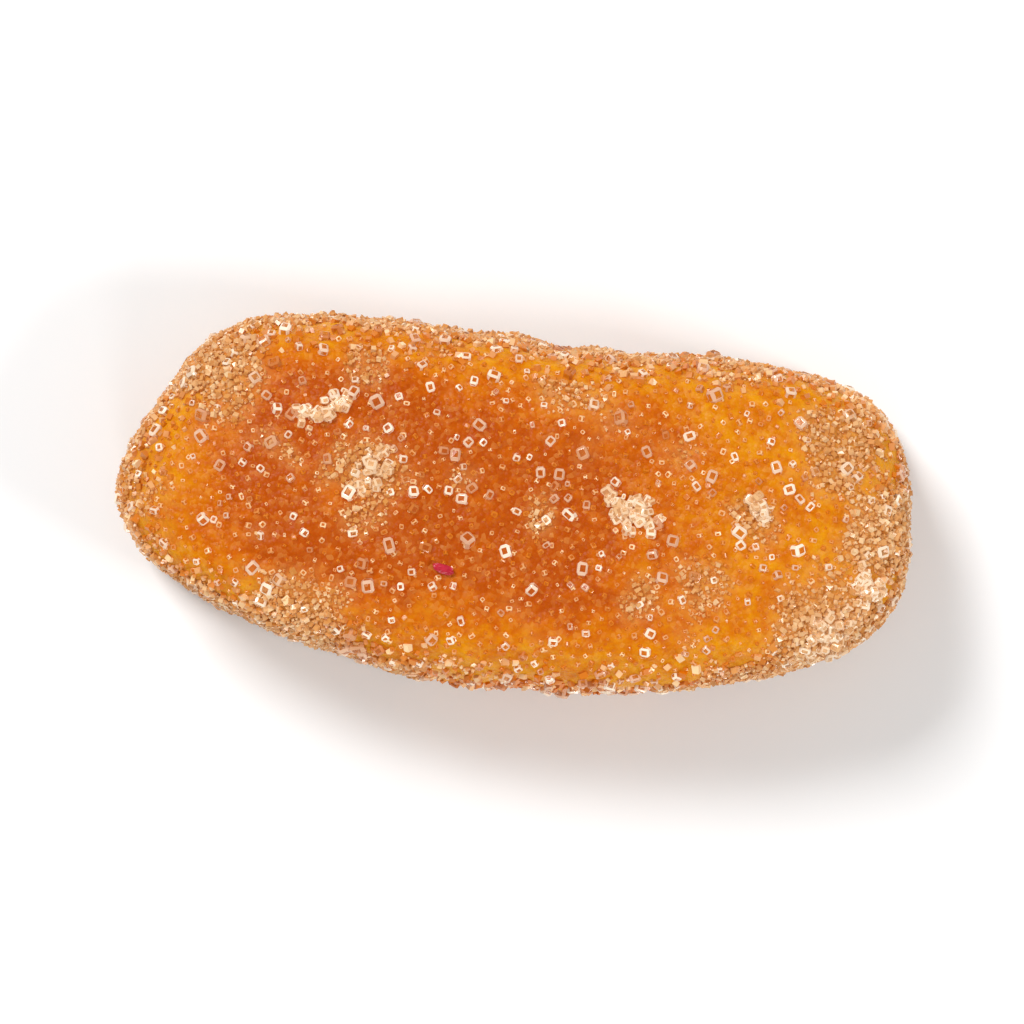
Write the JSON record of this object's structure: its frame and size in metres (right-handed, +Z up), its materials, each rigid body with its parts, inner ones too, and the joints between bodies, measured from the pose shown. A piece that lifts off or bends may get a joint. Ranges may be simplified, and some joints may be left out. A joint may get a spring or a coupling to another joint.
{
  "type": "jelly orange slice",
  "caption": "Half-moon slice of clear orange fruit jelly with a curved back, blunt rounded ends and a coat of coarse sugar crystals, lying on its flat face.",
  "frame": {"origin": "on the surface that the slice lies on, under the middle of its length and width", "axes": "+X along the slice from one blunt end to the other, +Y from the curved back to the straight edge, +Z up out of the broad face"},
  "size_m": [0.0486, 0.0228, 0.0144],
  "materials": {
    "sugared_jelly": "glossy translucent orange fruit jelly, rolled in coarse sugar",
    "sugar": "clear to white sugar crystals"
  },
  "bodies": {
    "root": {"jelly_slice": "sugared_jelly"}
  },
  "joints": []
}
